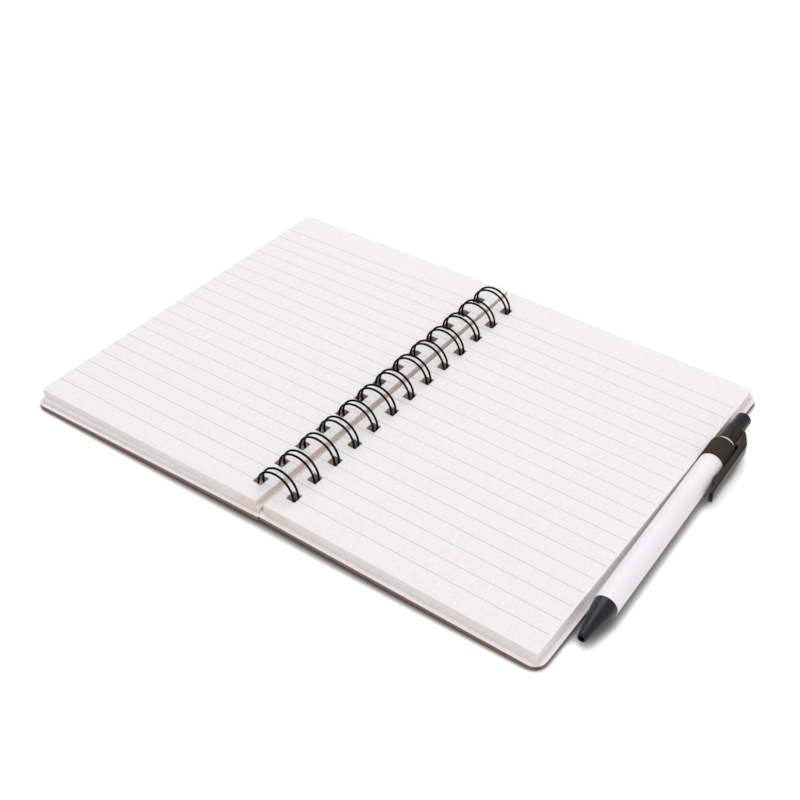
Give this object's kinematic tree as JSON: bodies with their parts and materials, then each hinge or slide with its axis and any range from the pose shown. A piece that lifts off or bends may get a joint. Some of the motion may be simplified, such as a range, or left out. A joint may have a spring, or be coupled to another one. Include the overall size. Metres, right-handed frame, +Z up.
{
  "type": "spiral notebook",
  "caption": "Wire-bound hardcover notebook lying open at ruled pages, with a push-button ballpoint pen held in an elastic loop at the back cover's edge.",
  "frame": {"origin": "on the table, below the middle of the open book with its pen", "axes": "+X from the rings towards the unturned pages and the pen, +Y along the rings towards the top of the page, +Z up from the table"},
  "size_m": [0.2608, 0.1822, 0.0182],
  "materials": {
    "wire_black": "black nylon-coated steel wire, glossy",
    "cover_board": "dark brown board edge, matt outside",
    "liner_paper": "smooth off-white paper",
    "page_paper": "white writing paper with fine grey ruled lines",
    "elastic": "dark brown ribbed elastic",
    "barrel_white": "white moulded plastic, soft gloss",
    "pen_black": "black moulded plastic, soft gloss",
    "end_dark": "brown-black moulded plastic, satin",
    "clear_plastic": "natural polypropylene tube",
    "rotor_plastic": "natural acetal",
    "tip_metal": "turned brass",
    "spring_steel": "bright spring steel"
  },
  "bodies": {
    "root": {"wire_binding": "wire_black", "back_cover_board": "cover_board", "back_cover_liner": "liner_paper", "pen_loop": "elastic", "pen_barrel": "barrel_white", "pen_nose": "pen_black", "pen_clip_housing": "end_dark", "pen_spring": "spring_steel"},
    "front_cover": {"front_cover_board": "cover_board", "front_cover_liner": "liner_paper"},
    "turned_pages": {"turned_pages_lower": "page_paper", "turned_pages_upper": "page_paper"},
    "right_pages": {"right_pages": "page_paper"},
    "pen_button": {"pen_button": "pen_black"},
    "pen_refill": {"pen_cam_rotor": "rotor_plastic", "pen_refill_tube": "clear_plastic", "pen_refill_tip": "tip_metal"}
  },
  "joints": [
    {"name": "front_cover_turn", "type": "hinge", "parent": "root", "child": "front_cover", "pos_m": [-0.00622, 0, 0.00915], "axis": [0, 1, 0], "range_deg": [0, 182.28]},
    {"name": "turned_pages_turn", "type": "hinge", "parent": "front_cover", "child": "turned_pages", "pos_m": [-0.00622, 0, 0.00915], "axis": [0, 1, 0], "range_deg": [0, 177.7]},
    {"name": "right_pages_turn", "type": "hinge", "parent": "root", "child": "right_pages", "pos_m": [-0.00622, 0, 0.00915], "axis": [0, 1, 0], "range_deg": [-182.28, 0]},
    {"name": "button_press", "type": "slide", "parent": "root", "child": "pen_button", "axis": [0.0183, -0.9997, -0.0171], "range_m": [0, 0.005], "stiffness_N_per_m": 300, "springref_m": -0.003, "deforming": ["pen_spring"]},
    {"name": "refill_slide", "type": "slide", "parent": "root", "child": "pen_refill", "axis": [0.0183, -0.9997, -0.0171], "range_m": [0, 0.005]}
  ],
  "couplings": [
    {"joint": "refill_slide", "follows": "button_press", "ratio": 1}
  ]
}
